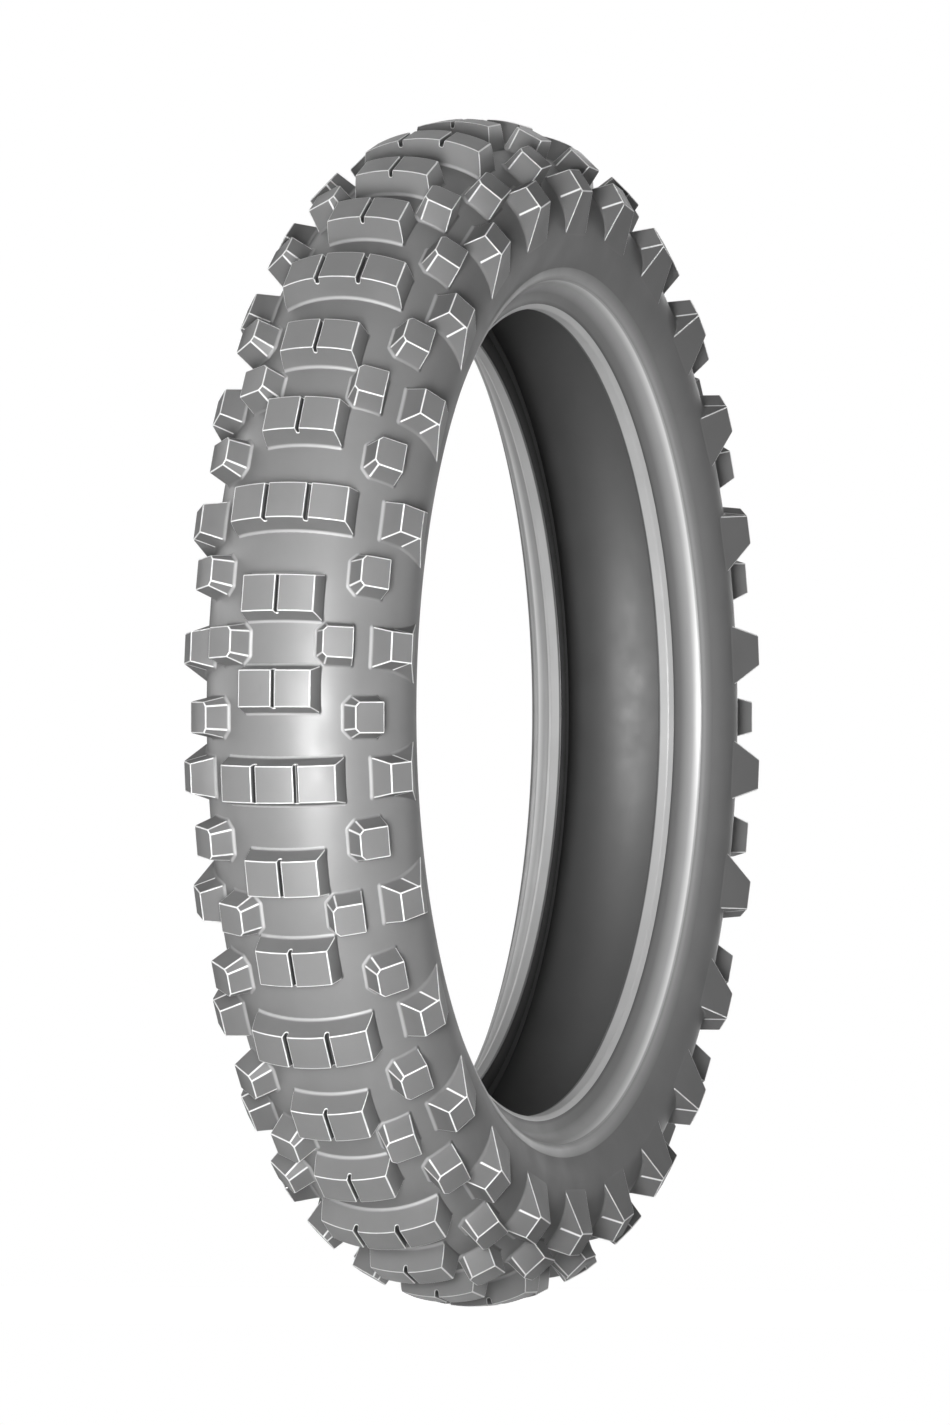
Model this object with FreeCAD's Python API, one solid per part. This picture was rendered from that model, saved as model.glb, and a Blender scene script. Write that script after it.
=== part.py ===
"""Off-road motorcycle tyre for an 18 inch rim, 120 mm wide and 673 mm across, bias ply, tube type.

Frame: millimetres, origin at the wheel centre, axle along +Y, +Z up.
A section is drawn in the XY plane as (radius, width) and revolved about the Y axis.
Directions in a section are angles from the outward radius towards +Y.
"""
import FreeCAD, Part
import math
import os

# Bead, outside: what has to fit the rim. A rise is a radius above the seat's.
SEAT_RADIUS = 228.6         # 18 inch rim: 457.2 mm across the bead seats
TOE_WIDTH = 29.3            # half the space between the two toes
SEAT_LENGTH = 6.5
HEEL_RISE = 2.8
HEEL_OUT = 8.7              # outside the toe
FLANGE_HOLLOW = 3.2         # the rim's flange curls into this hollow between heel and rim line
RIM_LINE_RISE = 16.4        # crease that shows whether the bead sits true on the rim
RIM_LINE_OUT = 20.5
RIDGE_RISE = 2.0            # ridge over the rim line: its edge above the crease
RIDGE_STEP = 2.1            # and its step outwards
RIDGE_HEIGHT = 7.0          # from the rim line to where it meets the sidewall arc, and rim strip meets sidewall

# Crown and sidewall, outside
CROWN_RISE = 31.4           # the crown arc's centre
CROWN_RADIUS = 62.9         # crown arc between the lugs
SIDEWALL_RADIUS = 35.0      # arc that carries the crown down to the rim line
SIDEWALL_START = 65.1       # direction at which the sidewall arc leaves the crown

# Bead and casing, inside
BEAD_FACE_ANGLE = 5.0
BEAD_FACE_HEIGHT = 19.0
FLANK_ANGLE = 50.0
SHOULDER_RADIUS = 16.0      # between the flank and the crown
CROWN_RUNS = 4              # straight runs of a layer from the equator to the shoulder
SHOULDER_RUNS = 2           # and round the shoulder

# Layers, from the inside out
LINER = 0.8
PLY = 0.8
BREAKER = 0.8
UNDERTREAD = 3.0            # rubber between the breakers and the foot of the lugs
CHAFER = 0.8

# What the bead holds
CORE_LIFT = 12.2            # from the toe along the bead face to the wire bundle
CORE_HEIGHT = 4.5
CORE_WIDTH = 4.0
FILLER_RISE = 29.4          # the filler's tip
OUTER_TURNUP_RISE = 25.9    # where the plies' turned-up edges end
INNER_TURNUP_RISE = 22.4
CHAFER_RISE = 19.4
LINER_RISE = 11.4           # the liner's edge
OUTER_BREAKER_EDGE = 38.0   # directions at which the breakers end
INNER_BREAKER_EDGE = 44.0
TREAD_EDGE_LIFT = 5.5       # joint of tread and sidewall above the crown's centre, outside
TREAD_SKIVE_LIFT = 24.0     # and inside, against the carcass
SKIVE_WIDTH = 11.0          # how far the slanted joint runs across the wall

# Tread pattern
PITCHES = 13
LUG_HEIGHT = 13.6
LUG_SINK = 1.6              # how deep a lug's root goes into the rubber that carries it
END_DRAFT = 0.21            # leading and trailing faces, growth per unit of depth
CENTRE_HALF_LENGTH = 10.5   # along the tread
PAIR_HALF_WIDTH = 21.7      # row of two blocks, along the crown
TRIPLE_HALF_WIDTH = 35.3    # row of three blocks
CENTRE_FLANK = 1.1          # growth of a row's flanks from top to foot
PAIR_GROOVE = 2.3
TRIPLE_GROOVE = 2.8
TRIPLE_GROOVE_AT = 12.7     # from the middle of the row, along the crown
GROOVE_DEPTH = 4.0
BLOCK_HALF = 8.8            # half the side of an intermediate block
BLOCK_FLANK = 2.3
BLOCK_CHAMFER = 3.0
INNER_BLOCK_AT = 27.5       # direction from the crown's centre
OUTER_BLOCK_AT = 41.0
SHOULDER_TOP_INNER = 51.5   # directions of the shoulder lug's top
SHOULDER_TOP_OUTER = 62.6
SHOULDER_FOOT_INNER = 47.0
SHOULDER_FOOT_MIDDLE = 60.0
SHOULDER_HALF_LENGTH = 8.5
BUTTRESS_LIFT = 10.0        # above the crown's centre, where the buttress runs out on the sidewall
BUTTRESS_HALF_LENGTH = 21.0
BUTTRESS_SINK = 0.6         # how far its face runs on under the sidewall
OUTER_BLOCK_PITCH = 0.232   # places along one pitch
PAIR_PITCH = 1.0 / 3.0
HALF_PITCH = 0.5
FIRST_ROW_TURN = 90.0       # about the axle, from +X to the bottom
CARRYING_PITCHES = 1.25     # of the bare tread, to carry every lug that reaches into one pitch

AXLE = FreeCAD.Vector(0, 1, 0)
ORIGIN = FreeCAD.Vector(0, 0, 0)
FAR = 500.0                 # past every side of the tyre
SEW = 1e-4

CROWN_CENTRE = SEAT_RADIUS + CROWN_RISE
RIM_LINE_RADIUS = SEAT_RADIUS + RIM_LINE_RISE
RIDGE_BLEND = RIM_LINE_RADIUS + RIDGE_HEIGHT
LAYERS = LINER + 2 * PLY
CAVITY_RADIUS = CROWN_RADIUS - LAYERS - 2 * BREAKER - UNDERTREAD
LUG_TOP_RADIUS = CROWN_RADIUS + LUG_HEIGHT
PITCH_ANGLE = 360.0 / PITCHES


def vec(point, z=0.0):
    return FreeCAD.Vector(point[0], point[1], z)


def step_from(point, angle, length):
    a = math.radians(angle)
    return point[0] + length * math.cos(a), point[1] + length * math.sin(a)


def past(a, b, length):
    """Point on the line from a through b, a length past b."""
    share = 1 + length / math.dist(a, b)
    return a[0] + share * (b[0] - a[0]), a[1] + share * (b[1] - a[1])


def mirrored(point):
    return point[0], -point[1]


def line(a, b):
    return Part.LineSegment(vec(a), vec(b)).toShape()


def arc(a, middle, b):
    return Part.Arc(vec(a), vec(middle), vec(b)).toShape()


def round_arc(centre, radius, start, end):
    """Arc about a centre between two directions."""
    points = [step_from(centre, t, radius) for t in (start, (start + end) / 2, end)]
    return arc(*points)


def bowed(a, b, bow):
    """Arc from a to b whose middle lies to the left of the chord by bow."""
    length = math.dist(a, b)
    across = (-(b[1] - a[1]) / length, (b[0] - a[0]) / length)
    middle = ((a[0] + b[0]) / 2 + bow * across[0], (a[1] + b[1]) / 2 + bow * across[1])
    return arc(a, middle, b)


def region(edges):
    return Part.Face(Part.Wire(Part.__sortEdges__(edges)))


def polygon(points):
    return Part.Face(Part.makePolygon([vec(p) for p in points + points[:1]]))


def both_sides(top, edges, bottom):
    """Region between an arc across the top, the outline's +Y side, its mirror image and a straight bottom."""
    other = [e.mirror(ORIGIN, AXLE) for e in edges]
    return region([top] + edges + other + [line(bottom, mirrored(bottom))])


CROWN = (CROWN_CENTRE, 0.0)
TOE = (SEAT_RADIUS, TOE_WIDTH)
KNEE = step_from(TOE, BEAD_FACE_ANGLE, BEAD_FACE_HEIGHT)
FLANK_NORMAL = FLANK_ANGLE + 90.0
BEAD_NORMAL = BEAD_FACE_ANGLE + 90.0


def shoulder_start():
    """Direction at which the inside curve of the shoulder leaves the crown's, to meet the flank."""
    n = math.radians(FLANK_NORMAL)
    away = (KNEE[0] - CROWN[0]) * math.cos(n) + (KNEE[1] - CROWN[1]) * math.sin(n)
    share = (away - SHOULDER_RADIUS) / (CAVITY_RADIUS - SHOULDER_RADIUS)
    return FLANK_NORMAL - math.degrees(math.acos(share))


def runs(centre, radius, start, end, count):
    """Ends of equal straight runs along a curve about a centre."""
    return [step_from(centre, start + (end - start) * k / count, radius) for k in range(count + 1)]


def knee_at(depth):
    """Corner between the bead face and the flank, at a depth in the wall."""
    half_turn = math.radians((FLANK_ANGLE - BEAD_FACE_ANGLE) / 2)
    return step_from(KNEE, (FLANK_NORMAL + BEAD_NORMAL) / 2, depth / math.cos(half_turn))


def hollow(depth):
    """The tyre's inside, grown by depth into the wall: each layer lies between two of these."""
    start = shoulder_start()
    shoulder = step_from(CROWN, start, CAVITY_RADIUS - SHOULDER_RADIUS)
    foot = step_from(step_from(TOE, BEAD_NORMAL, depth), BEAD_FACE_ANGLE, -2 * LAYERS)
    crown = runs(CROWN, CAVITY_RADIUS + depth, 0, start, CROWN_RUNS)
    bend = runs(shoulder, SHOULDER_RADIUS + depth, start, FLANK_NORMAL, SHOULDER_RUNS)
    half = crown + bend[1:] + [knee_at(depth), foot]
    return polygon(half + [mirrored(p) for p in reversed(half[1:])])


def sidewall_arc():
    """Centre of the outside arc of the sidewall, and its direction at the ridge."""
    centre = step_from(CROWN, SIDEWALL_START, CROWN_RADIUS - SIDEWALL_RADIUS)
    end = math.degrees(math.acos((RIDGE_BLEND - centre[0]) / SIDEWALL_RADIUS))
    return centre, end


def outside():
    """The tyre's outside without its lugs, closed across the bead toes."""
    centre, end = sidewall_arc()
    crease = (RIM_LINE_RADIUS, TOE_WIDTH + RIM_LINE_OUT)
    ridge = (crease[0] + RIDGE_RISE, crease[1] + RIDGE_STEP)
    heel = (SEAT_RADIUS + HEEL_RISE, TOE_WIDTH + HEEL_OUT)
    seat_end = (SEAT_RADIUS, TOE_WIDTH + SEAT_LENGTH)
    top = round_arc(CROWN, CROWN_RADIUS, -SIDEWALL_START, SIDEWALL_START)
    edges = [
        round_arc(centre, SIDEWALL_RADIUS, SIDEWALL_START, end),
        line(step_from(centre, end, SIDEWALL_RADIUS), ridge),
        line(ridge, crease),
        bowed(crease, heel, FLANGE_HOLLOW),
        line(heel, seat_end),
        line(seat_end, TOE),
    ]
    return both_sides(top, edges, TOE)


def slab(low, high):
    return polygon([(low, -FAR), (high, -FAR), (high, FAR), (low, FAR)])


def fan(angle):
    """Everything within an angle of the equator, seen from the crown's centre."""
    top = step_from(CROWN, angle, FAR)
    return polygon([CROWN, mirrored(top), top])


def above_skive():
    """Everything on the tread's side of its slanted joints with the sidewalls."""
    centre, _ = sidewall_arc()
    out = (CROWN_CENTRE + TREAD_EDGE_LIFT, centre[1] + SIDEWALL_RADIUS)
    within = (CROWN_CENTRE + TREAD_SKIVE_LIFT, out[1] - SKIVE_WIDTH)
    beyond = (2 * out[0] - within[0], 2 * out[1] - within[1])
    points = [within, beyond, (FAR, beyond[1])]
    return polygon(points + [mirrored(p) for p in reversed(points)])


def bead_bundle():
    """The wire bundle's section, square to the bead face."""
    inner = step_from(TOE, BEAD_NORMAL, LAYERS)
    corner = step_from(inner, BEAD_FACE_ANGLE, CORE_LIFT)
    top = step_from(corner, BEAD_FACE_ANGLE, CORE_HEIGHT)
    return [corner, step_from(corner, BEAD_NORMAL, CORE_WIDTH), step_from(top, BEAD_NORMAL, CORE_WIDTH), top]


def flank_point(radius, depth):
    """Point at a radius on the flank, at a depth in the wall."""
    start = knee_at(depth)
    return step_from(start, FLANK_ANGLE, (radius - start[0]) / math.cos(math.radians(FLANK_ANGLE)))


def grown(points, depth):
    """A convex outline, run the way round that has its inside on the left, with every side moved out."""
    moved = []
    for a, b in zip(points, points[1:] + points[:1]):
        out = math.degrees(math.atan2(b[1] - a[1], b[0] - a[0])) - 90
        moved.append((step_from(a, out, depth), step_from(b, out, depth)))
    return [crossing(before, after) for before, after in zip(moved[-1:] + moved[:-1], moved)]


def crossing(first, second):
    """Where two lines, each through two points, cross."""
    (x1, y1), (x2, y2) = first
    (x3, y3), (x4, y4) = second
    share = ((x3 - x1) * (y4 - y3) - (y3 - y1) * (x4 - x3)) / ((x2 - x1) * (y4 - y3) - (y2 - y1) * (x4 - x3))
    return x1 + share * (x2 - x1), y1 + share * (y2 - y1)


def bead_sections():
    """What the +Y bead holds, and the plies turned up round it: name -> region."""
    corner, low, high, top = bead_bundle()
    core = polygon([corner, low, high, top])
    tip = flank_point(SEAT_RADIUS + FILLER_RISE, LAYERS)
    heart = [corner, knee_at(LAYERS), tip, high, low]

    def wrap(start, end, rise):
        outer, inner = (polygon(grown(heart, depth)) for depth in (end, start))
        return outer.cut(inner).common(slab(0, SEAT_RADIUS + rise))

    return {
        "core": core,
        "filler": polygon(heart).cut(core),
        "outer_turnup": wrap(0, PLY, OUTER_TURNUP_RISE),
        "inner_turnup": wrap(PLY, 2 * PLY, INNER_TURNUP_RISE),
        "chafer": wrap(2 * PLY, 2 * PLY + CHAFER, CHAFER_RISE),
        "bottom": corner[0],
    }


def flipped(shape):
    return shape.mirror(ORIGIN, AXLE)


def ring(section):
    """A section turned once round the axle; where it has several regions, they touch and become one."""
    solids = [f.revolve(ORIGIN, AXLE, 360) for f in section.Faces]
    if len(solids) == 1:
        return solids[0]
    return solids[0].fuse(solids[1:]).removeSplitter().Solids[0]


def sections():
    """Every layer's section: name -> region in the XY plane."""
    bead = bead_sections()
    wall = outside().cut(hollow(0))
    above_bead = slab(bead["bottom"], FAR)
    depths = [0, LINER, LINER + PLY, LAYERS, LAYERS + BREAKER, LAYERS + 2 * BREAKER]
    cavity = [hollow(d) for d in depths]

    def layer(i):
        return cavity[i + 1].cut(cavity[i])

    def ply(i, turnup):
        main = layer(i).common(above_bead)
        return Part.makeCompound([main, turnup.cut(main), flipped(turnup.cut(main))])

    breakers = {
        "breaker_inner": layer(3).common(fan(INNER_BREAKER_EDGE)),
        "breaker_outer": layer(4).common(fan(OUTER_BREAKER_EDGE)),
    }
    out = {
        "inner_liner": layer(0).common(slab(SEAT_RADIUS + LINER_RISE, FAR)),
        "carcass_ply_inner": ply(1, bead["inner_turnup"]),
        "carcass_ply_outer": ply(2, bead["outer_turnup"]),
        **breakers,
    }
    tread = wall.common(above_skive()).cut(cavity[3]).cut(list(breakers.values()))
    chafer = bead["chafer"].common(wall).cut(out["inner_liner"])
    right = {"bead_core": bead["core"], "bead_filler": bead["filler"], "chafer": chafer}
    inside = list(out.values()) + list(right.values())
    lower = wall.common(slab(0, RIDGE_BLEND)).cut(inside)
    upper = wall.common(slab(RIDGE_BLEND, FAR)).cut(inside + [tread])
    right["rim_strip"] = lower
    right["sidewall"] = upper
    half = polygon([(0, 0), (FAR, 0), (FAR, FAR), (0, FAR)])
    for name, shape in right.items():
        one = shape.common(half)
        out[name + "_right"] = one
        out[name + "_left"] = flipped(one)
    out["tread"] = tread
    return out


def half_space(a, b, c, inside):
    """Everything on the inside's side of the plane through three points."""
    plane = Part.Plane(a, b, c)
    face = plane.toShape(-FAR, FAR, -FAR, FAR)
    normal = plane.Axis
    side = 1 if (inside - a).dot(normal) > 0 else -1
    return face.extrude(normal * (side * FAR))


def prism(section, half_length):
    return section.extrude(FreeCAD.Vector(0, 0, 2 * half_length)).translated(FreeCAD.Vector(0, 0, -half_length))


def both_ends(solid, points, inside):
    """A lug cut by a plane through three points of its leading end, and by the same plane's mirror image."""
    for sign in (1, -1):
        a, b, c = (FreeCAD.Vector(p.x, p.y, sign * p.z) for p in points)
        solid = solid.common(half_space(a, b, c, inside))
    return solid


def groove(middle, width):
    """Edges of a groove in a lug's top, and the directions where it starts and ends."""
    half = math.degrees(width / 2 / LUG_TOP_RADIUS)
    bottom = LUG_TOP_RADIUS - GROOVE_DEPTH
    walls = [(middle - half, LUG_TOP_RADIUS), (middle - half / 2, bottom),
             (middle + half / 2, bottom), (middle + half, LUG_TOP_RADIUS)]
    points = [step_from(CROWN, t, r) for t, r in walls]
    return [line(p, q) for p, q in zip(points, points[1:])], (middle - half, middle + half)


def centre_row(half_width, grooves_at, groove_width):
    """A row across the middle of the tread: its top follows the crown and is parted by grooves."""
    edge = math.degrees(half_width / LUG_TOP_RADIUS)
    foot = math.degrees((half_width + CENTRE_FLANK) / CROWN_RADIUS)
    top = step_from(CROWN, edge, LUG_TOP_RADIUS)
    root = past(top, step_from(CROWN, foot, CROWN_RADIUS), LUG_SINK)
    edges = [line(top, root), line(mirrored(top), mirrored(root)),
             arc(root, step_from(CROWN, 0, math.dist(CROWN, root)), mirrored(root))]
    start = -edge
    for at in grooves_at:
        cut, (first, last) = groove(math.degrees(at / LUG_TOP_RADIUS), groove_width)
        edges += [round_arc(CROWN, LUG_TOP_RADIUS, start, first)] + cut
        start = last
    edges.append(round_arc(CROWN, LUG_TOP_RADIUS, start, edge))
    long_end = CENTRE_HALF_LENGTH + END_DRAFT * LUG_TOP_RADIUS
    beyond = LUG_TOP_RADIUS + LUG_HEIGHT
    short_end = CENTRE_HALF_LENGTH - END_DRAFT * LUG_HEIGHT
    middle = FreeCAD.Vector(CROWN_CENTRE, 0, 0)
    outline = [(0, long_end), (beyond, short_end), (beyond, -short_end), (0, -long_end), (0, long_end)]
    ends = Part.Face(Part.makePolygon([middle + FreeCAD.Vector(r, 0, z) for r, z in outline]))
    return prism(region(edges), long_end).common(ends.revolve(middle, FreeCAD.Vector(0, 0, 1), 360))


def block(at):
    """A square block with a flat top, and the two corners that face the equator cut off."""
    def place(down, across, along):
        top = step_from(CROWN, at, LUG_TOP_RADIUS - down)
        return vec(step_from(top, at + 90, across), along)

    depth = LUG_HEIGHT + LUG_SINK
    spread = BLOCK_FLANK * depth / LUG_HEIGHT
    low, high = BLOCK_HALF + spread, BLOCK_HALF
    corners = [place(0, -high, 0), place(0, high, 0), place(depth, low, 0), place(depth, -low, 0)]
    reach = BLOCK_HALF + END_DRAFT * depth
    solid = prism(Part.Face(Part.makePolygon(corners + corners[:1])), 2 * reach)
    inside = place(depth / 2, 0, 0)
    end = [place(0, -high, BLOCK_HALF), place(0, high, BLOCK_HALF), place(depth, 0, reach)]
    solid = both_ends(solid, end, inside)
    corner = [place(0, -high, BLOCK_HALF - BLOCK_CHAMFER), place(0, BLOCK_CHAMFER - high, BLOCK_HALF),
              place(depth, BLOCK_CHAMFER - low, reach)]
    return both_ends(solid, corner, inside)


def under_skin(direction, depth):
    """Point under the tyre's outside, seen from the centre of the arc there."""
    if direction < SIDEWALL_START:
        return step_from(CROWN, direction, CROWN_RADIUS - depth)
    return step_from(sidewall_arc()[0], direction, SIDEWALL_RADIUS - depth)


def shoulder_lug():
    """A shoulder lug and the buttress that carries it down the sidewall, widening as it goes."""
    centre, _ = sidewall_arc()
    top_in = step_from(CROWN, SHOULDER_TOP_INNER, LUG_TOP_RADIUS)
    top_out = step_from(CROWN, SHOULDER_TOP_OUTER, LUG_TOP_RADIUS)
    foot_at = math.degrees(math.acos((CROWN_CENTRE + BUTTRESS_LIFT - centre[0]) / SIDEWALL_RADIUS))
    foot_in = under_skin(SHOULDER_FOOT_INNER, 0)
    foot_middle = under_skin(SHOULDER_FOOT_MIDDLE, 0)
    foot_out = under_skin(foot_at, 0)
    root_in = past(top_in, foot_in, LUG_SINK)
    root_middle = past(top_out, foot_middle, LUG_SINK)
    root_out = past(top_out, foot_out, BUTTRESS_SINK)
    halfway = under_skin((SHOULDER_FOOT_MIDDLE + foot_at) / 2, LUG_SINK)
    axis = (SHOULDER_TOP_INNER + SHOULDER_TOP_OUTER) / 2
    top_height = LUG_TOP_RADIUS * math.cos(math.radians(SHOULDER_TOP_OUTER - axis))

    def reach(point):
        a = math.radians(axis)
        height = (point[0] - CROWN[0]) * math.cos(a) + (point[1] - CROWN[1]) * math.sin(a)
        return SHOULDER_HALF_LENGTH + END_DRAFT * (top_height - height)

    def solid_of(points, end, inside):
        face = Part.Face(Part.makePolygon([vec(p) for p in points + points[:1]]))
        return both_ends(prism(face, 2 * BUTTRESS_HALF_LENGTH), [vec(p, z) for p, z in end], vec(inside))

    lug = solid_of([root_in, top_in, top_out, root_middle],
                   [(top_in, reach(top_in)), (top_out, reach(top_out)), (foot_in, reach(foot_in))],
                   foot_middle)
    buttress = solid_of([root_middle, top_out, root_out, halfway],
                        [(top_out, reach(top_out)), (foot_middle, reach(foot_middle)),
                         (foot_out, BUTTRESS_HALF_LENGTH)], foot_middle)
    return lug.fuse(buttress).removeSplitter()


def turned(shape, pitches):
    return shape.rotated(ORIGIN, AXLE, -pitches * PITCH_ANGLE)


def sector(section, pitches):
    """A section turned through some pitches, the same each way from the middle."""
    first = section.rotated(ORIGIN, AXLE, -pitches / 2 * PITCH_ANGLE)
    return first.revolve(ORIGIN, AXLE, pitches * PITCH_ANGLE)


def one_pitch(section):
    """One pitch of the tread, lugs and all, between the middles of two neighbouring shoulder lugs."""
    triple = centre_row(TRIPLE_HALF_WIDTH, (-TRIPLE_GROOVE_AT, TRIPLE_GROOVE_AT), TRIPLE_GROOVE)
    pair = centre_row(PAIR_HALF_WIDTH, (0,), PAIR_GROOVE)
    lugs = [triple, turned(pair, PAIR_PITCH), turned(pair, -PAIR_PITCH)]
    side = []
    for at, shape in ((HALF_PITCH, block(INNER_BLOCK_AT)), (OUTER_BLOCK_PITCH, block(OUTER_BLOCK_AT)),
                      (HALF_PITCH, shoulder_lug())):
        side += [turned(shape, at), turned(shape, -at)]
    side.append(shoulder_lug())
    lugs += side + [flipped(s) for s in side]
    carried = sector(section, CARRYING_PITCHES).fuse(lugs)
    bounds = sector(polygon([(0, -FAR), (FAR, -FAR), (FAR, FAR), (0, FAR)]), 1)
    return carried.common(bounds)


def tread(section):
    """The tread in one piece: its pitches joined round the wheel, a row of three at the bottom."""
    piece = one_pitch(section)
    joint = FreeCAD.Vector(0, 0, 1)
    joints = [FreeCAD.Rotation(AXLE, sign * PITCH_ANGLE / 2).multVec(joint) for sign in (1, -1)]

    def lies_on(face, normal):
        return all(abs(v.Point.dot(normal)) < SEW for v in face.Vertexes)

    skin = [f for f in piece.Faces if not any(lies_on(f, j) for j in joints)]
    faces = [f.rotated(ORIGIN, AXLE, FIRST_ROW_TURN - k * PITCH_ANGLE) for k in range(PITCHES) for f in skin]
    shell = Part.makeShell(faces)
    shell.sewShape(SEW)
    solid = Part.Solid(shell.Shells[0])
    return solid if solid.Volume > 0 else solid.reversed()


def main():
    os.makedirs("parts", exist_ok=True)
    for name, section in sections().items():
        shape = tread(section) if name == "tread" else ring(section)
        shape.exportStep("parts/" + name + ".step")


main()
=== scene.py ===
"""Looks of an off-road motorcycle tyre: tread, sidewalls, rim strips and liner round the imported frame.

Sections are drawn in millimetres as (radius, width) and turned round the axle, which is +Y.
Directions in a section are seen from the crown arc's centre, from the outward radius towards +Y.
A lug is built at angle 0, with x along the radius and z along the tread, and then copied round the wheel.
"""
import math

import bmesh
import bpy
import numpy as np
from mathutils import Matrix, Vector


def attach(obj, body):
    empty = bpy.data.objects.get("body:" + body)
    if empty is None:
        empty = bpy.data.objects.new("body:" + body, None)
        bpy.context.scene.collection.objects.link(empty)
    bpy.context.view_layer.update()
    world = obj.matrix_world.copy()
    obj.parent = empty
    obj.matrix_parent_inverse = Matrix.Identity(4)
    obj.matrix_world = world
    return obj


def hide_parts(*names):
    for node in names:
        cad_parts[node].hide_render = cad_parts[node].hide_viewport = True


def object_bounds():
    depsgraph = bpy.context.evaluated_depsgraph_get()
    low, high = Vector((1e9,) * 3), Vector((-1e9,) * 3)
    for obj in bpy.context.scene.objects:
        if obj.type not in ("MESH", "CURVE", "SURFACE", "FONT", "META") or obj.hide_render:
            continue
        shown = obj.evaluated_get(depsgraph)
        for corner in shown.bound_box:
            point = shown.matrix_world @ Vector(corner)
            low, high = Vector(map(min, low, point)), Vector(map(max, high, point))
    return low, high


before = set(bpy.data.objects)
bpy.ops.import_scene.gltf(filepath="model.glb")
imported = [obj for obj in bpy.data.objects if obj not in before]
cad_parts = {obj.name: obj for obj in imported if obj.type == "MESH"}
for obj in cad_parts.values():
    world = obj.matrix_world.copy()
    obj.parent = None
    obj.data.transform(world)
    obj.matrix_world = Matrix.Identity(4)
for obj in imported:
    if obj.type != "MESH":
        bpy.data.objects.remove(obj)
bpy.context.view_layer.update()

MM = 0.001

# the bare tyre's outside
CENTRE = np.array([260.0, 0.0])     # of the crown's arc
CROWN = 62.9                        # the crown's arc
SIDE = 35.0                         # the sidewall's arc
SIDE_FROM = math.radians(65.1)      # direction where one passes into the other
SIDE_CENTRE = CENTRE + (CROWN - SIDE) * np.array([math.cos(SIDE_FROM), math.sin(SIDE_FROM)])
TREAD_EDGE = 265.5                  # radius where tread and sidewall meet
RIDGE_BLEND = 252.0                 # radius where sidewall and rim strip meet
RIDGE = np.array([247.0, 51.9])
RIM_LINE = np.array([245.0, 49.8])  # the crease over the rim
FLANGE_HOLLOW = 3.2                 # depth between rim line and heel
HEEL = np.array([231.4, 38.0])
SEAT_LENGTH = 6.5
TOE = np.array([228.6, 29.3])

# its inside
BEAD_FACE = math.radians(5)         # lean of the face above the toe
BEAD_FACE_LENGTH = 19.0
STRIP_END = 11.6                    # along that face: the end of the rim strip
LINER_START = 11.3                  # and of the liner, which laps under it
FLANK = math.radians(50)            # direction of the straight wall
CAVITY = 55.6                       # the crown's inside arc
BEND = 16.0                         # the shoulder's inside arc

# the tread's pattern: sizes across are measured along a lug's top
PITCHES = 13
LUG = 13.6                          # height of a lug
TOP = CROWN + LUG
DRAFT = 0.21                        # lean of leading and trailing faces
ROW_HALF_LENGTH = 10.5              # along the tread
ROW_FLANK = 1.1                     # how much wider a row gets down to its foot
ROW_FOOT_LEAN = 0.17                # lean of its sides there
GROOVE_DEPTH = 4.0
GROOVE_FLOOR = 0.75                 # width of a groove's floor, as a share of its mouth

# roundings and mesh steps
AROUND = 390                        # sections round the wheel, a whole number to each pitch
EDGE = 0.75                         # rounding of lug edges
ROW_END_EDGE = 0.45                 # the same at the ends of a row
FOOT = 1.7                          # rounding at lug feet
THIN_FOOT = 0.4                     # and where a buttress runs out on the sidewall
THIN_FOOT_RADII = (270, 284)        # the foot grows to its full rounding between these
BURIED = -0.06                      # height of a foot's outer end over the skin
EDGE_STEPS = (0.3, 0.65, 1.0)       # places along the rounding of an edge
FOOT_STEPS = ((0.25, 0.6), (0.5, 1.0), (0.75, 0.7), (1.0, 0.0))  # places along a foot, and the share there of its painted highlight and shade
LONGEST = 4.0                       # of the straight runs that need points between their ends
SHARP_FROM = math.radians(50)       # faces that meet at more than this show a crisp edge


# ---- section and outline helpers ----

def unit(v):
    """Vectors brought to length 1."""
    return v / np.maximum(np.linalg.norm(v, axis=-1, keepdims=True), 1e-12)


def towards(angle):
    """The unit vector of a direction in a section."""
    return np.array([math.cos(angle), math.sin(angle)])


def bezier(a, b, c, t):
    """A place on the curve that leaves a towards b and comes from b into c."""
    return (1 - t) ** 2 * a + 2 * t * (1 - t) * b + t * t * c


def arc_points(centre, radius, start, end, count):
    """Points along an arc of a section, from one direction to another."""
    turn = np.linspace(start, end, count)
    return np.stack([centre[0] + radius * np.cos(turn), centre[1] + radius * np.sin(turn)], 1)


def turn_points(before, here, after, reach, most, steps):
    """A rounded corner, which takes no more of either side than the given share."""
    start = here + unit(before - here) * min(reach, most * np.linalg.norm(before - here))
    end = here + unit(after - here) * min(reach, most * np.linalg.norm(after - here))
    return [bezier(start, here, end, t) for t in np.linspace(0, 1, steps + 1)]


def rounded_path(points, reaches, steps=4, longest=math.inf):
    """An open path with its inner corners rounded over their reaches, and long runs divided."""
    points = [np.asarray(p, float) for p in points]
    out = [points[0]]

    def run_to(p):
        """Goes straight to a point, by equal steps where it is far."""
        start = out[-1]
        cuts = int(np.linalg.norm(p - start) // longest) + 1
        out.extend(start + (p - start) * k / cuts for k in range(1, cuts))
        out.append(p)

    for before, here, after, reach in zip(points, points[1:], points[2:], reaches):
        reach = min(reach, 0.49 * np.linalg.norm(before - here), 0.49 * np.linalg.norm(after - here))
        if reach > 0:
            corner = turn_points(before, here, after, reach, 1.0, steps)
            run_to(corner[0])
            out += corner[1:]
        else:
            run_to(here)
    run_to(points[-1])
    return np.array(out)


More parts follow.
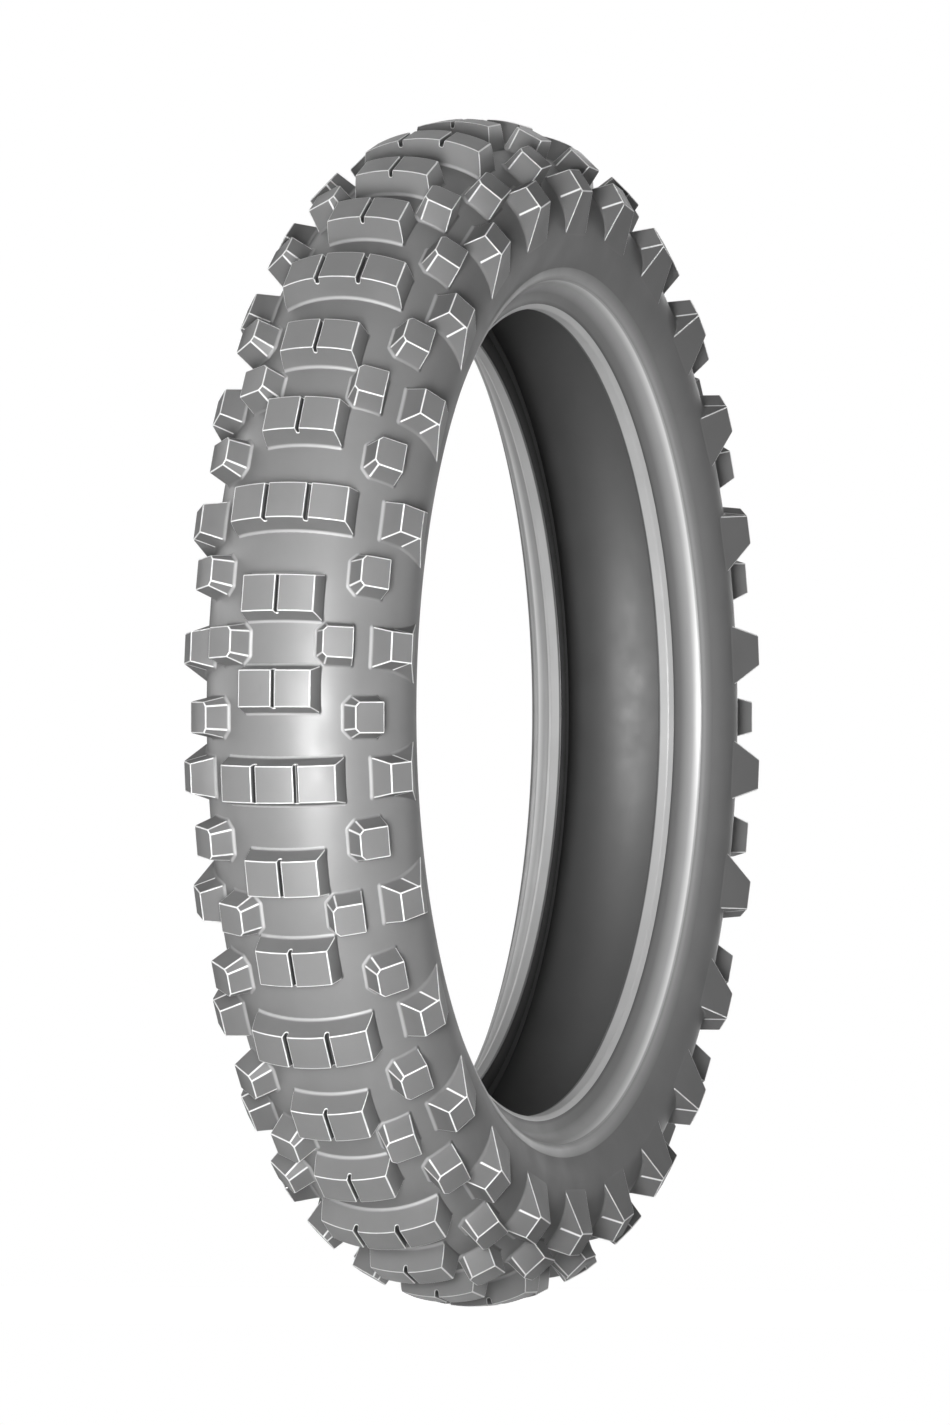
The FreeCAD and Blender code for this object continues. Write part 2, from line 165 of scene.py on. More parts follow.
def rounded_loop(corners, reach, steps=3, runs=2):
    """A closed outline through matching corners: each turned in steps, each side cut in runs."""
    before, after = np.roll(corners, 1, axis=0), np.roll(corners, -1, axis=0)
    turns = [turn_points(*three, reach, 0.45, steps) for three in zip(before, corners, after)]
    out = []
    for this, following in zip(turns, turns[1:] + turns[:1]):
        start, end = this[-1], following[0]
        out += this + [start + (end - start) * k / runs for k in range(1, runs)]
    return np.array(out)


def inset(corners, depth):
    """A flat outline with every side moved in."""
    normal = unit(sum(np.cross(corners[i - 1], corners[i]) for i in range(len(corners))))
    sides = unit(np.roll(corners, -1, axis=0) - corners)
    inward = np.cross(normal, sides)
    before = np.roll(inward, 1, axis=0)
    return corners + depth * (inward + before) / (1 + np.sum(inward * before, 1, keepdims=True))


def on_skin(p, height):
    """Points moved square to the bare tyre's outside until they stand at a height over it."""
    p = np.atleast_2d(p)
    radius = np.hypot(p[:, 0], p[:, 2])
    side = np.where(p[:, 1] < 0, -1.0, 1.0)
    width = np.abs(p[:, 1])
    crown = (np.arctan2(width, radius - CENTRE[0]) < SIDE_FROM)[:, None]
    centre = np.where(crown, CENTRE, SIDE_CENTRE)
    reach = np.where(crown[:, 0], CROWN, SIDE) + height
    flat = centre + unit(np.stack([radius, width], 1) - centre) * reach[:, None]
    scale = flat[:, 0] / radius
    return np.stack([p[:, 0] * scale, flat[:, 1] * side, p[:, 2] * scale], 1)


def height_over_skin(p):
    """How far points stand over the bare tyre's outside."""
    away = p - on_skin(p, 0.0)
    up = on_skin(p, 1.0) - on_skin(p, 0.0)
    return np.sum(away * up, 1)


def meet(top, low, height):
    """Where lines from top towards low, or on past it, come down to a height over the skin."""
    near, far = np.zeros(len(top)), np.full(len(top), 1.3)
    for _ in range(40):
        middle = (near + far) / 2
        above = height_over_skin(top + (low - top) * middle[:, None]) > height
        near, far = np.where(above, middle, near), np.where(above, far, middle)
    return top + (low - top) * near[:, None]


def outward(loop):
    """Directions along the skin, away from the inside of a loop on it."""
    up = unit(on_skin(loop, 1.0) - on_skin(loop, 0.0))
    along = unit(np.roll(loop, -1, axis=0) - np.roll(loop, 1, axis=0))
    out = unit(np.cross(along, up))
    return out if np.sum(out * (loop - loop.mean(0))) > 0 else -out


# ---- mesh building ----

class Mesh:
    """Points in millimetres, each with weights for painted highlights on edges and on feet and for painted
    shade in hollows, and faces.
    """

    def __init__(self):
        self.points, self.weights, self.faces = [], [], []

    def ring(self, points, edge=0.0, foot=0.0, hollow=0.0):
        """Adds points with their weights, and gives their numbers."""
        start, count = len(self.points), len(points)
        self.points += [tuple(p) for p in points]
        self.weights += list(zip(*(np.broadcast_to(w, count).tolist() for w in (edge, foot, hollow))))
        return list(range(start, start + count))

    def bridge(self, first, second, closed=True):
        """Joins two rings of as many points by a band of faces."""
        count = len(first)
        for i in range(count if closed else count - 1):
            j = (i + 1) % count
            self.faces.append((first[j], first[i], second[i], second[j]))

    def turn(self, section, weights=(0.0, 0.0, 0.0)):
        """Turns an open section once round the axle. Which way its faces look follows from its run."""
        rings = []
        for a in np.linspace(0, 2 * math.pi, AROUND, endpoint=False):
            place = np.stack([section[:, 0] * math.cos(a), section[:, 1], section[:, 0] * math.sin(a)], 1)
            rings.append(self.ring(place, *weights))
        for first, second in zip(rings, rings[1:] + rings[:1]):
            self.bridge(first, second, closed=False)

    def add(self, other, angle=0.0):
        """Adds a copy of another mesh, turned about the axle in degrees, from +X towards -Z."""
        c, s = math.cos(math.radians(angle)), math.sin(math.radians(angle))
        x, y, z = np.array(other.points).T
        start = len(self.points)
        self.points += list(map(tuple, np.stack([x * c + z * s, y, z * c - x * s], 1)))
        self.weights += other.weights
        self.faces += [tuple(i + start for i in face) for face in other.faces]

    def mirrored(self):
        """The same on the other side of the tyre."""
        other = Mesh()
        other.points = [(x, -y, z) for x, y, z in self.points]
        other.weights = list(self.weights)
        other.faces = [face[::-1] for face in self.faces]
        return other

    def face_outwards(self):
        """Turns the faces of a lug to look out of it."""
        solid = bmesh.new()
        corners = [solid.verts.new(p) for p in self.points]
        for face in self.faces:
            solid.faces.new([corners[i] for i in face])
        bmesh.ops.recalc_face_normals(solid, faces=solid.faces[:])
        solid.verts.index_update()
        up = Vector(np.array(self.points).mean(0) - np.array([CENTRE[0], 0, 0]))
        top = max(solid.faces, key=lambda face: face.calc_center_median().dot(up))
        step = -1 if top.normal.dot(up) < 0 else 1
        self.faces = [tuple(corner.index for corner in face.verts)[::step] for face in solid.faces]
        solid.free()
        return self

    def build(self, name, material, node):
        """Makes the piece that stands in for a CAD node."""
        data = bpy.data.meshes.new(name)
        data.from_pydata([(x * MM, y * MM, z * MM) for x, y, z in self.points], [], self.faces)
        weights = np.array(self.weights, np.float32)
        # edge and foot carry painted highlights and hollow carries painted shade; on the rim strip foot is
        # the plain tone's share
        for k, label in enumerate(("edge", "foot", "hollow")):
            data.attributes.new(label, "FLOAT", "POINT").data.foreach_set("value", weights[:, k].copy())
        data.materials.append(material)
        data.polygons.foreach_set("use_smooth", [True] * len(data.polygons))
        data.update()
        data.set_sharp_from_angle(angle=SHARP_FROM)
        piece = bpy.data.objects.new(name, data)
        bpy.context.scene.collection.objects.link(piece)
        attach(piece, "root")
        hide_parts(node)
        weighted = piece.modifiers.new("normals", "WEIGHTED_NORMAL")
        weighted.keep_sharp = True
        weighted.weight = 60


# ---- the lugs ----

def from_crown(direction, height, across=0.0, along=0.0):
    """A point over the crown: its direction in degrees, then steps across and along the tread."""
    out = towards(math.radians(direction))
    x, y = CENTRE + (CROWN + height) * out + across * np.array([-out[1], out[0]])
    return np.array([x, y, along])


def skirt(mesh, loop, low, ring, light, painted_shade, reach=FOOT):
    """Rounds a lug's foot out on to the skin. The ring of points stands at the start of the rounding."""
    away = outward(low)
    out = on_skin(low + away * np.reshape(reach, (-1, 1)), BURIED)
    last = ring
    # the first weight paints a highlight along the foot and the other paints shade, both fading out onto
    # the skin
    for t, share in FOOT_STEPS:
        here = mesh.ring(bezier(loop, low, out, t), 0.0, light * share, painted_shade * share)
        mesh.bridge(last, here)
        last = here


def lug(top, low, runs=2):
    """A block from matching corners of its top and of a section further down."""
    mesh = Mesh()
    upper = rounded_loop(top, EDGE, runs=runs)
    lower = rounded_loop(low, EDGE * 1.2, runs=runs)
    within = rounded_loop(inset(top, EDGE), EDGE * 0.35, runs=runs)
    foot = meet(upper, lower, 0.0)
    reach = np.interp(np.hypot(foot[:, 0], foot[:, 2]), THIN_FOOT_RADII, (THIN_FOOT, FOOT))
    start = meet(upper, lower, reach)
    down = upper + unit(foot - upper) * EDGE
    corners = np.tile([0.0, 1.0, 1.0, 0.0] + [0.0] * (runs - 1), len(top))      # where the outline turns, for a painted highlight on the upright edges
    last = mesh.ring(within)
    mesh.faces.append(tuple(last))
    # The rounding round the top is all painted highlight; further down only the upright edges keep it.
    for t in EDGE_STEPS:
        here = mesh.ring(bezier(within, upper, down, t), 1.0 if t < 1 else corners)
        mesh.bridge(last, here)
        last = here
    for share in (0.5, 1.0):
        here = mesh.ring(down + (start - down) * share, corners)
        mesh.bridge(last, here)
        last = here
    # Feet towards the middle of the tread get a painted highlight, feet facing out get painted shade.
    from_middle = outward(foot)[:, 1] * np.sign(foot[:, 1])
    skirt(mesh, start, foot, last, np.clip(-from_middle, 0, 1), np.clip(from_middle, 0, 1), reach)
    return mesh.face_outwards()


def row_profile(half_width, grooves, groove_width):
    """A row's outline from foot to foot, as (across, height), with its edges and grooves rounded."""
    widening = ((half_width + ROW_FLANK) / CROWN * TOP - half_width) / LUG
    foot = half_width + widening * (LUG - FOOT)
    half, floor = groove_width / 2, LUG - GROOVE_DEPTH
    path, reaches = [(-foot, FOOT), (-half_width, LUG)], [EDGE]
    for at in grooves:
        path += [(at - half, LUG), (at - half * GROOVE_FLOOR, floor)]
        path += [(at + half * GROOVE_FLOOR, floor), (at + half, LUG)]
        reaches += [EDGE * 0.8, half * 0.8, half * 0.8, EDGE * 0.8]
    path += [(half_width, LUG), (foot, FOOT)]
    reaches += [EDGE]
    return rounded_path(path, reaches, longest=LONGEST)


def row_tones(profile, along, half_width):
    """Weights along a row's outline: a painted highlight on the lips where it turns down, painted shade in
    the grooves and on the lower flanks.
    """
    across, height = profile.T
    steps = np.pad(np.linalg.norm(np.diff(profile, axis=0), axis=1), 1, constant_values=math.inf)
    in_rounding = np.maximum(steps[1:], steps[:-1]) < 0.5
    turning = np.gradient(np.unwrap(np.arctan2(along[:, 1], along[:, 0])))
    lip_highlights = 1.0 * in_rounding * (turning < -0.05)
    down = LUG - height
    in_groove = np.abs(across) < half_width - 2.0
    # painted shade: darkest on the groove floors, and growing down the lower flanks
    hollow = np.where(in_groove, np.clip((down - 0.7) / 1.5, 0, 1), 0.6 * down / LUG)
    return lip_highlights, hollow


def row(half_width, grooves, groove_width):
    """A row of blocks across the middle: one body, parted by grooves with round bottoms."""
    full = row_profile(half_width, grooves, groove_width)
    along = unit(np.gradient(full, axis=0))
    within = full + np.stack([along[:, 1], -along[:, 0]], 1) * ROW_END_EDGE
    within[0, 1] = within[-1, 1] = FOOT
    lip_highlights, hollow = row_tones(full, along, half_width)

    def place(flat, end, back):
        """Points of the outline set over the crown, at one end of the row or some way back from it."""
        turn = flat[:, 0] / TOP
        reach = CROWN + flat[:, 1]
        z = end * (ROW_HALF_LENGTH + DRAFT * (LUG - flat[:, 1]) - back)
        return np.stack([CENTRE[0] + reach * np.cos(turn), reach * np.sin(turn), z], 1)

    mesh = Mesh()
    places = (0.0,) + EDGE_STEPS
    rings = []
    for end, t in [(1, t) for t in places] + [(-1, t) for t in reversed(places)]:
        inner, corner, outer = place(within, end, 0.0), place(full, end, 0.0), place(full, end, EDGE)
        # Painted highlight on the rounding of the row's ends and on its lips, painted shade in its grooves
        # and down its flanks.
        edge_highlight = np.maximum(lip_highlights, t < 1) * (t > 0)
        rings.append(mesh.ring(bezier(inner, corner, outer, t), edge_highlight, 0.0, hollow * (t > 0)))
    for first, second in zip(rings, rings[1:]):
        mesh.bridge(first, second, closed=False)
    bottoms = []
    for ring, end in ((rings[0], 1), (rings[-1], -1)):
        span = np.linspace(within[-1, 0], within[0, 0], 16)[1:-1]
        flat = np.stack([span, np.full(len(span), FOOT)], 1)
        bottoms.append(mesh.ring(place(flat, end, 0.0)))
        mesh.faces.append(tuple(ring + bottoms[-1]))
    loop = bottoms[0][::-1] + [r[-1] for r in rings] + bottoms[1] + [r[0] for r in rings[::-1]]
    start = np.array([mesh.points[i] for i in loop])
    away = outward(on_skin(start, 0.0))
    foot = on_skin(start + away * ROW_FOOT_LEAN * FOOT, 0.0)
    # Feet along the tread get a painted highlight, feet at the row's ends get painted shade.
    skirt(mesh, start, foot, loop, 0.8 * np.abs(away[:, 2]), np.abs(away[:, 1]))
    return mesh.face_outwards()


def block(direction):
    """A square block, its two corners towards the equator cut off."""
    half, flank = 8.8, 1.4

    def corners(down):
        """The block's outline at a depth under its top."""
        cut = 2.5 + 2.0 * down / LUG
        a = half + flank * down / LUG
        b = half + DRAFT * down
        flat = [(-a, cut - b), (cut - a, -b), (a, -b), (a, b), (cut - a, b), (-a, b - cut)]
        return np.array([from_crown(direction, LUG - down, across, along) for across, along in flat])

    return lug(corners(0.0), corners(LUG + 2.0))


def shoulder_lug():
    """A shoulder lug with the buttress that carries it down the sidewall."""
    top_in, top_out = from_crown(51.5, LUG), from_crown(62.6, LUG)
    foot_in, foot_middle = from_crown(47.0, 0.0), from_crown(60.0, 0.0)
    foot_out = on_skin(np.array([270.0, 62.0, 0.0]), 0.0)[0]
    half, foot_half, buttress_half = 8.5, 11.7, 17.4        # half lengths along the tread
    near_out = top_out + unit(top_in - top_out) * 1.7

    def outline(points):
        """A closed outline from points, each with the half length there."""
        right = [p + np.array([0, 0, z]) for p, z in points]
        left = [p - np.array([0, 0, z]) for p, z in reversed(points)]
        return np.array(right + left)

    top = outline([(top_in, half), (near_out, half), (top_out, half)])
    foot = outline([(foot_in, foot_half), (foot_middle, foot_half), (foot_out, buttress_half)])
    return lug(top, top + (foot - top) * 1.03, runs=4)


def lugs():
    """All the lugs of the tread, copied round the wheel: a row of three at the bottom."""
    pitch = 360.0 / PITCHES
    triple = row(half_width=35.3, grooves=(-12.7, 12.7), groove_width=2.8)
    pair = row(half_width=21.7, grooves=(0.0,), groove_width=2.3)
    inner, outer, shoulder = block(direction=27.5), block(direction=42.0), shoulder_lug()
    one = Mesh()
    for shape, places in ((triple, (0,)), (pair, (-1 / 3, 1 / 3))):
        for place in places:
            one.add(shape, place * pitch)
    for shape, places in ((inner, (0.5,)), (outer, (-0.232, 0.232)), (shoulder, (0.0, 0.5))):
        for place in places:
            one.add(shape, place * pitch)
            one.add(shape.mirrored(), place * pitch)
    every = Mesh()
    for k in range(PITCHES):
        every.add(one, 90 + k * pitch)
    return every


# ---- sections of the turned pieces ----

def skin_arc(start, end, count):
    """The bare outside from one radius on the sidewall to another, on the right."""
    turns = [math.acos((r - SIDE_CENTRE[0]) / SIDE) for r in (start, end)]
    return arc_points(SIDE_CENTRE, SIDE, turns[0], turns[1], count)


def tread_section():
    """The bare tread, from its edge on one sidewall over the crown to the other."""
    edge = skin_arc(TREAD_EDGE, SIDE_CENTRE[0] + SIDE * math.cos(SIDE_FROM), 12)
    crown = arc_points(CENTRE, CROWN, SIDE_FROM, -SIDE_FROM, 60)
    other = edge[::-1] * (1, -1)
    return np.concatenate([edge[:-1], crown, other[1:]])


def sidewall_section():
    """From the rim strip to the tread's edge."""
    return skin_arc(RIDGE_BLEND, TREAD_EDGE, 14)


def rim_strip_section():
    """From the sidewall over the ridge and the rim line, down the flange's hollow, round heel and toe."""
    blend = skin_arc(RIDGE_BLEND, TREAD_EDGE, 2)[0]
    chord = unit(HEEL - RIM_LINE)
    control = (RIM_LINE + HEEL) / 2 + np.array([-chord[1], chord[0]]) * 2 * FLANGE_HOLLOW
    hollow = [bezier(RIM_LINE, control, HEEL, t) for t in np.linspace(0.06, 0.94, 16)]
    up = towards(BEAD_FACE)
    by_toe = [TOE + (0, SEAT_LENGTH), TOE + (0, 1.7), TOE + (0, 1.1), TOE, TOE + up * 1.1, TOE + up * 1.7]
    end = [TOE + up * (STRIP_END - 0.7), TOE + up * STRIP_END]
    path = [blend, RIDGE, RIM_LINE] + hollow + [HEEL] + by_toe + end
    reaches = [1.0, 0.5] + [0] * len(hollow) + [1.2, 0.8, 0, 0, 0.7, 0, 0, 0]
    return rounded_path(path, reaches, steps=5)


def fading(distance, reach):
    """1 at a place, and nothing from a reach away."""
    return np.clip(1 - distance / reach, 0, 1)


def rim_strip_tones(section):
    """Weights along the rim strip: a painted highlight in the hollow by the rim line; the plain tone's
    share, low near the rim line so that the pale tone shows there as a painted highlight, and whole outside
    it; and painted shade in creases and on the face inside the bead."""
    to_line, to_heel, to_toe = (np.linalg.norm(section - at, axis=1) for at in (RIM_LINE, HEEL, TOE))
    at_line = to_line < 0.6
    outside = section.sum(1) > RIM_LINE.sum() + 0.2
    in_hollow = ~outside & (section[:, 0] > HEEL[0])
    bead_face = (section[:, 0] > TOE[0] + 0.5) & (section[:, 1] < TOE[1] + 2)
    # painted highlight in the hollow next to the rim line
    light = 0.7 * in_hollow * ~at_line * fading(to_line, 4.5)
    # plain share: low near the rim line, so that the pale strip tone is a painted highlight there, and
    # growing towards the heel
    plain = np.where(in_hollow, 1 - fading(to_line, 12.0), outside * (1 - 0.5 * fading(to_line, 8.0)))
    # painted shade: a line at the toe, a faint one on the rim line, a patch past the heel, and the face
    # inside the bead
    by_heel = 0.5 * in_hollow * fading(to_heel, 2.5)
    painted_shade = np.max([to_toe < 1.2, 0.25 * at_line, by_heel, 0.85 * bead_face], axis=0)
    return light, plain, painted_shade


def liner_section():
    """The smooth inside, from one bead over the crown to the other."""
    start = TOE + towards(BEAD_FACE) * LINER_START
    knee = TOE + towards(BEAD_FACE) * BEAD_FACE_LENGTH
    square = FLANK + math.pi / 2
    share = ((knee - CENTRE) @ towards(square) - BEND) / (CAVITY - BEND)
    leave = square - math.acos(share)
    bend = arc_points(CENTRE + (CAVITY - BEND) * towards(leave), BEND, square, leave, 12)
    low = rounded_path([start, knee, bend[0]], [5.0], steps=6, longest=LONGEST)
    half = np.concatenate([low[:-1], bend[:-1], arc_points(CENTRE, CAVITY, leave, 0, 24)])
    return np.concatenate([half, half[-2::-1] * (1, -1)])


# ---- materials ----

RUBBER_TONE = 0.17
EDGE_HIGHLIGHT_TONE = 0.85                  # painted highlight on lug edges and by the rim line
# painted highlight along lug feet
FOOT_HIGHLIGHT_TONE = 0.45
# painted shade in grooves, on lug feet and flanks, and in the rim strip's creases
PAINTED_SHADE_TONE = 0.02
SHEEN = 0.03                        # specular level of plain rubber
CROWN_SHEEN = 0.95
CROWN_SHEEN_ENDS = (0.025, 0.055)   # metres from the middle plane, between which it fades
# the rim strip's pale tone, a painted highlight on the seat and by the rim line
STRIP_HIGHLIGHT_TONE = 0.37
STRIP_SHEEN = 0.1
SEAT_SHEEN = 1.0
LINER_TONE = 0.05
LINER_SHEEN = 0.9
MOTTLE = 0.05                       # how far the clouding goes from the tone, either way
UNEVEN = 0.05                       # how far the roughness goes, either way
GRAIN = 0.06                        # strength of the mould's grain
GRAIN_HEIGHT = 0.0004               # in metres


def opaque(tone, factor=1.0):
    """A colour from a tone or from three, made lighter or darker."""
    return tuple(c * factor for c in np.broadcast_to(tone, 3).tolist()) + (1,)


class Look:
    """A new material, and the kinds of node that rubber and fabric need."""

    def __init__(self, name):
        self.material = bpy.data.materials.new(name)
        self.material.use_nodes = True
        self.nodes, self.links = self.material.node_tree.nodes, self.material.node_tree.links
        self.inputs = self.nodes["Principled BSDF"].inputs
        self.place = self.nodes.new("ShaderNodeTexCoord").outputs["Object"]

    def noise(self, scale, detail):
        """Noise fixed to the object; its scale is in waves to the metre."""
        node = self.nodes.new("ShaderNodeTexNoise")
        node.inputs["Scale"].default_value = scale
        node.inputs["Detail"].default_value = detail
        self.links.new(self.place, node.inputs["Vector"])
        return node.outputs["Fac"]

    def spread(self, value, low, high, span=(0.3, 0.7)):
        """A value that goes from low to high while another goes over its span."""
        node = self.nodes.new("ShaderNodeMapRange")
        node.inputs["From Min"].default_value, node.inputs["From Max"].default_value = span
        node.inputs["To Min"].default_value, node.inputs["To Max"].default_value = low, high
        self.links.new(value, node.inputs["Value"])
        return node.outputs["Result"]

    def mix(self, weight, second):
        """A mix whose first colour is still to be set or linked."""
        node = self.nodes.new("ShaderNodeMix")
        node.data_type = "RGBA"
        self.links.new(weight, node.inputs["Factor"])
        node.inputs["B"].default_value = second
        return node

    def weight(self, label):
        """One of the weights that the mesh's points carry."""
        node = self.nodes.new("ShaderNodeAttribute")
        node.attribute_name = label
        return node.outputs["Fac"]

    def from_middle(self):
        """Distance from the tyre's middle plane, in metres."""
        axes = self.nodes.new("ShaderNodeSeparateXYZ")
        self.links.new(self.place, axes.inputs["Vector"])
        node = self.nodes.new("ShaderNodeMath")
        node.operation = "ABSOLUTE"
        self.links.new(axes.outputs["Y"], node.inputs[0])
        return node.outputs["Value"]

    def grain(self):
        """The fine grain that the mould leaves, as a bump."""
        node = self.nodes.new("ShaderNodeBump")
        node.inputs["Strength"].default_value = GRAIN
        node.inputs["Distance"].default_value = GRAIN_HEIGHT
        self.links.new(self.noise(scale=1400.0, detail=2.0), node.inputs["Height"])
        return node.outputs["Normal"]

    def gloss(self, value, start, end, span):
        """Sheen that goes from start to end while a value goes over its span."""
        self.links.new(self.spread(value, start, end, span), self.inputs["Specular IOR Level"])


def rubber(name, tone, roughness, sheen, metallic=0.0, **tones):
    """Moulded rubber or coated cord: faintly clouded, with the mould's grain, and with other tones where
    the mesh is weighted."""
    look = Look(name)
    clouds = look.mix(look.spread(look.noise(scale=35.0, detail=4.0), 0.0, 1.0), opaque(tone, 1 + MOTTLE))
    clouds.inputs["A"].default_value = opaque(tone, 1 - MOTTLE)
    colour = clouds.outputs["Result"]
    for label, other in tones.items():
        mix = look.mix(look.weight(label), opaque(other))
        look.links.new(colour, mix.inputs["A"])
        colour = mix.outputs["Result"]
    uneven = look.spread(look.noise(scale=60.0, detail=3.0), roughness - UNEVEN, roughness + UNEVEN)
    look.links.new(colour, look.inputs["Base Color"])
    look.links.new(uneven, look.inputs["Roughness"])
    look.links.new(look.grain(), look.inputs["Normal"])
    look.inputs["Metallic"].default_value = metallic
    look.inputs["Specular IOR Level"].default_value = sheen
    return look


def tread_rubber():
    """Sheen on the crown, fading to the shoulders. Feet get a painted highlight, hollows painted shade, and
    edges a painted highlight.
    """
    tones = {"foot": FOOT_HIGHLIGHT_TONE, "hollow": PAINTED_SHADE_TONE, "edge": EDGE_HIGHLIGHT_TONE}
    look = rubber("tread_rubber", RUBBER_TONE, roughness=0.5, sheen=SHEEN, **tones)
    look.gloss(look.from_middle(), CROWN_SHEEN, SHEEN, CROWN_SHEEN_ENDS)
    return look.material


def sidewall_rubber():
    """Plain rubber, with the tread's own tone."""
    return rubber("sidewall_rubber", RUBBER_TONE, roughness=0.5, sheen=SHEEN).material


def rim_strip_rubber():
    """Pale and polished on the seat, where the foot weight is nothing, and plain outside the rim line. The
    pale tone is a painted highlight; the edge weight paints a brighter highlight by the rim line and the
    hollow weight paints shade in creases.
    """
    tones = {"foot": RUBBER_TONE, "hollow": PAINTED_SHADE_TONE, "edge": EDGE_HIGHLIGHT_TONE}
    look = rubber("rim_strip_rubber", STRIP_HIGHLIGHT_TONE, roughness=0.45, sheen=STRIP_SHEEN, **tones)
    look.gloss(look.weight("foot"), SEAT_SHEEN, STRIP_SHEEN, (0.0, 1.0))
    return look.material


def liner_rubber():
    """Dark and smooth, with a sheen."""
    return rubber("liner_rubber", LINER_TONE, roughness=0.55, sheen=LINER_SHEEN).material


# ---- pieces ----

def dress_tread():
    """The bare tread with all its lugs, as one piece."""
    mesh = Mesh()
    mesh.turn(tread_section())
    mesh.add(lugs())
    mesh.build("tread_moulded", tread_rubber(), "tread")


def dress_sidewall(side, sign, material):
    """One sidewall."""
    mesh = Mesh()
    mesh.turn(sidewall_section() * (1, sign))
    mesh.build(f"sidewall_{side}_moulded", material, f"sidewall_{side}")


def dress_rim_strip(side, sign, material):
    """One rim strip."""
    section = rim_strip_section()
    mesh = Mesh()
    mesh.turn(section * (1, sign), rim_strip_tones(section))
    mesh.build(f"rim_strip_{side}_moulded", material, f"rim_strip_{side}")


def dress_sides():
    """Both sides, the left one a mirror image of the right."""
    wall, strip = sidewall_rubber(), rim_strip_rubber()
    for side, sign in (("right", 1), ("left", -1)):
        dress_sidewall(side, sign, wall)
        dress_rim_strip(side, sign, strip)


def dress_inside():
    """The smooth liner."""
    mesh = Mesh()
    mesh.turn(liner_section())
    mesh.build("inner_liner_smooth", liner_rubber(), "inner_liner")


def dress_hidden_layers():
    """The layers inside keep their solids, in the colours of coated cord, bronzed wire and hard rubber."""
    looks = {
        "carcass_ply": rubber("ply_fabric", (0.3, 0.28, 0.25), roughness=0.8, sheen=SHEEN),
        "breaker": rubber("breaker_fabric", (0.33, 0.3, 0.26), roughness=0.8, sheen=SHEEN),
        "bead_core": rubber("bead_wire", (0.62, 0.55, 0.42), roughness=0.35, sheen=0.5, metallic=1.0),
        "bead_filler": rubber("filler_rubber", 0.12, roughness=0.6, sheen=SHEEN),
        "chafer": rubber("chafer_fabric", (0.22, 0.21, 0.2), roughness=0.8, sheen=SHEEN),
    }
    for node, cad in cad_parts.items():
        for start, look in looks.items():
            if node.startswith(start):
                cad.data.materials.clear()
                cad.data.materials.append(look.material)


dress_tread()
dress_sides()
dress_inside()
dress_hidden_layers()


# ---- floor, light, camera ----

FLOOR_HALF = 0.6
FLOOR_COLOUR = 0.92
FLOOR_GLOW = 0.85                   # what the camera and gloss see on top of its lit colour
AMBIENT = 0.08
VIEW = Vector((0.9415, 0.3371, 0.0))
CAMERA_DISTANCE = 22.43             # far off, since the photo has almost no perspective
LENS = 1000


def seen_rays(nodes, links):
    """1 for the rays that show the background: the camera's own, and those that gloss or glass sends on."""
    rays = nodes.new("ShaderNodeLightPath")
    seen = rays.outputs["Is Camera Ray"]
    for kind in ("Is Glossy Ray", "Is Transmission Ray"):
        either = nodes.new("ShaderNodeMath")
        either.operation = "MAXIMUM"
        links.new(seen, either.inputs[0])
        links.new(rays.outputs[kind], either.inputs[1])
        seen = either.outputs[0]
    return seen


def floor_material():
    """Matte and pale: it is seen nearly white, with the object's shadow on it."""
    material = bpy.data.materials.new("floor")
    material.use_nodes = True
    nodes, links = material.node_tree.nodes, material.node_tree.links
    shader = nodes["Principled BSDF"]
    shader.inputs["Base Color"].default_value = opaque(FLOOR_COLOUR)
    shader.inputs["Roughness"].default_value = 0.9
    shader.inputs["Specular IOR Level"].default_value = 0.1
    glow = nodes.new("ShaderNodeEmission")
    links.new(seen_rays(nodes, links), glow.inputs["Strength"])
    glow.inputs["Color"].default_value = opaque(FLOOR_GLOW)
    both = nodes.new("ShaderNodeAddShader")
    links.new(shader.outputs[0], both.inputs[0])
    links.new(glow.outputs[0], both.inputs[1])
    links.new(both.outputs[0], nodes["Material Output"].inputs["Surface"])
    return material


def lay_floor():
    """A square floor under the tyre's lowest point."""
    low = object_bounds()[0]
    corners = [(x * FLOOR_HALF, y * FLOOR_HALF, 0) for x, y in ((-1, -1), (1, -1), (1, 1), (-1, 1))]
    data = bpy.data.meshes.new("floor")
    data.from_pydata(corners, [], [(0, 1, 2, 3)])
    data.materials.append(floor_material())
    floor = bpy.data.objects.new("floor", data)
    floor.location.z = low[2]
    bpy.context.scene.collection.objects.link(floor)


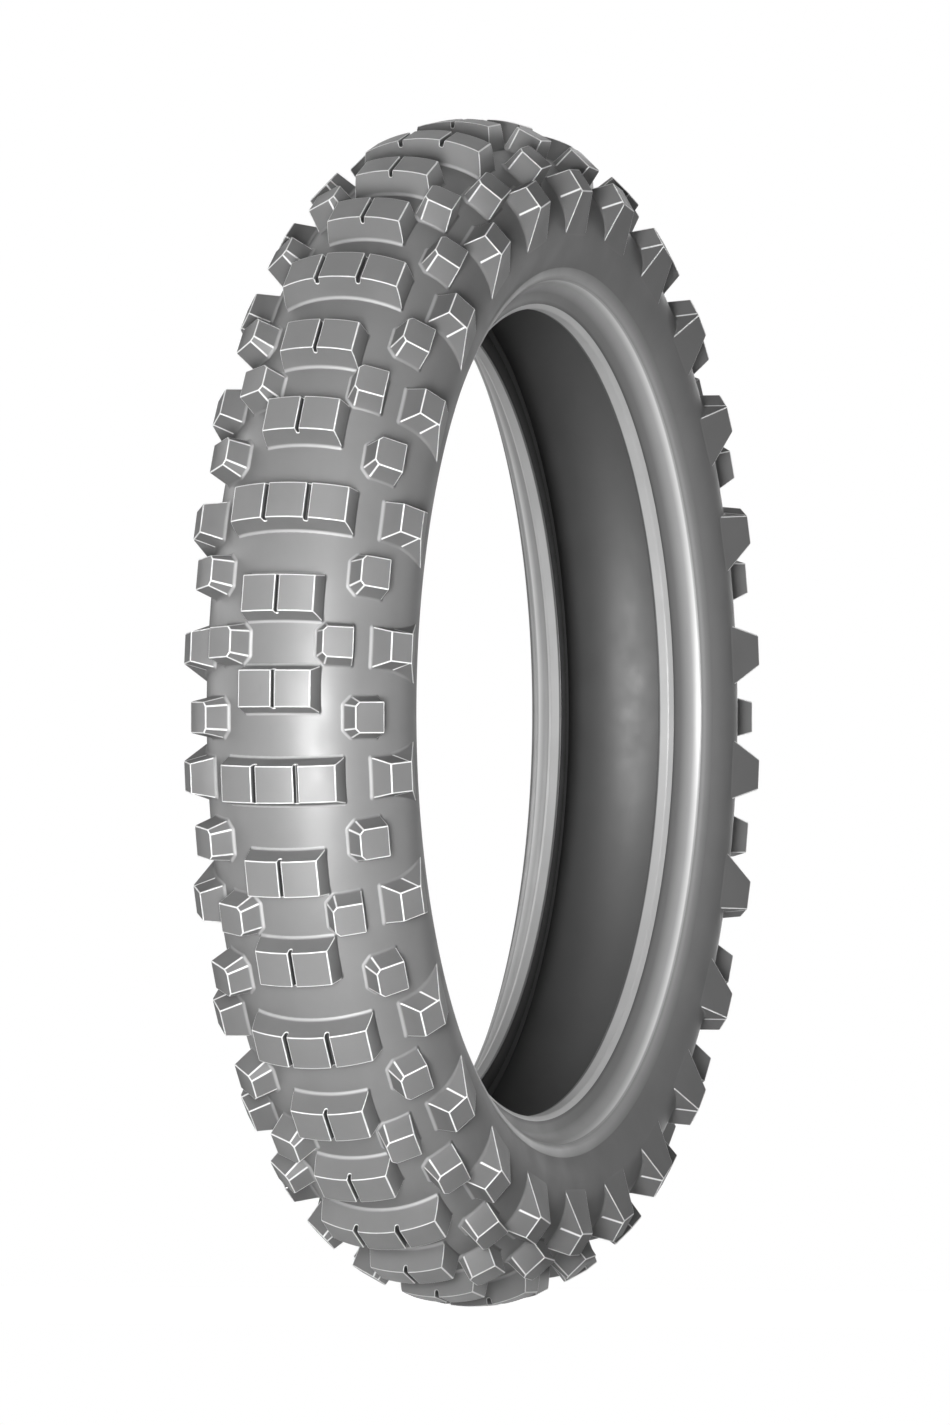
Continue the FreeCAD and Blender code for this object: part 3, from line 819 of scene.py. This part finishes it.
def light_world():
    """White where it is seen, and a faint even light on the object."""
    world = bpy.data.worlds.new("studio")
    bpy.context.scene.world = world
    world.use_nodes = True
    nodes, links = world.node_tree.nodes, world.node_tree.links
    shown, ambient = nodes["Background"], nodes.new("ShaderNodeBackground")
    for background, strength in ((shown, 1.0), (ambient, AMBIENT)):
        background.inputs["Color"].default_value = (1, 1, 1, 1)
        background.inputs["Strength"].default_value = strength
    mix = nodes.new("ShaderNodeMixShader")
    links.new(seen_rays(nodes, links), mix.inputs[0])
    links.new(ambient.outputs[0], mix.inputs[1])
    links.new(shown.outputs[0], mix.inputs[2])
    links.new(mix.outputs[0], nodes["World Output"].inputs["Surface"])


def lamp(name, direction, distance, size, watts, height=None, spread=math.pi):
    """A round lamp, or an upright oval one, that looks at the wheel's centre."""
    light = bpy.data.lights.new(name, "AREA")
    light.shape = "ELLIPSE" if height else "DISK"
    light.size = size
    if height:
        light.size_y = height
    light.energy = watts
    light.spread = spread
    lit = bpy.data.objects.new(name, light)
    lit.location = Vector(direction).normalized() * distance
    lit.rotation_euler = (-Vector(direction)).to_track_quat("-Z", "Y").to_euler()
    bpy.context.scene.collection.objects.link(lit)


def set_camera():
    """Looks at the wheel's centre from the photo's side, level with the axle."""
    data = bpy.data.cameras.new("camera")
    data.lens = LENS
    camera = bpy.data.objects.new("camera", data)
    camera.location = VIEW.normalized() * CAMERA_DISTANCE
    camera.rotation_euler = (-VIEW).to_track_quat("-Z", "Y").to_euler()
    bpy.context.scene.collection.objects.link(camera)
    bpy.context.scene.camera = camera


lay_floor()
light_world()
lamp("key", (1.0, 0.26, -0.06), distance=1.9, size=0.45, height=0.9, watts=3.1, spread=math.radians(38))
lamp("back", (-1.0, 0.0, 0.1), distance=5.0, size=3.0, watts=75)
lamp("right", (-0.25, 1.0, 0.0), distance=5.0, size=3.0, watts=28)
lamp("left", (-0.25, -1.0, 0.2), distance=5.0, size=3.0, watts=85)
set_camera()
bpy.context.scene.view_settings.view_transform = "Standard"
